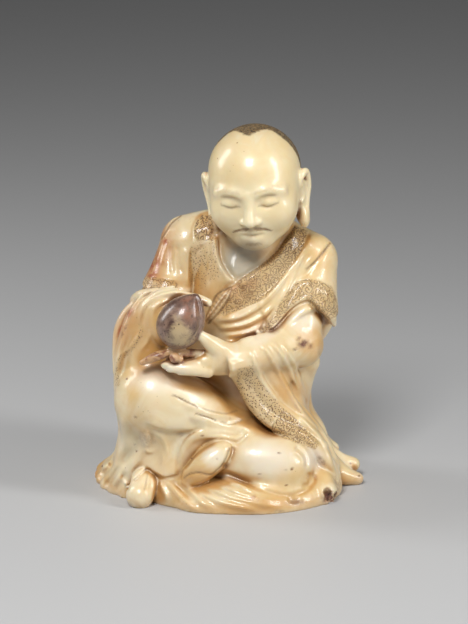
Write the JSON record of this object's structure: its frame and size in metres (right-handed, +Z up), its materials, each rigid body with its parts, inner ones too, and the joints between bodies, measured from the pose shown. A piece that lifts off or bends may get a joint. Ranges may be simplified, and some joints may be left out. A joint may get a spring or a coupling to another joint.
{
  "type": "luohan figure",
  "caption": "Seated monk in loose robes holding a peach, carved in the round from one block of pale soapstone, standing on its own flat underside.",
  "frame": {"origin": "on the flat underside, below the middle of the body", "axes": "+Z up, the figure faces -Y, +X towards the figure's left hand side, which is the viewer's right"},
  "size_m": [0.0782, 0.0585, 0.1065],
  "materials": {
    "stone": "polished, waxy, slightly translucent"
  },
  "bodies": {
    "root": {"luohan_figure": "stone"}
  },
  "joints": []
}
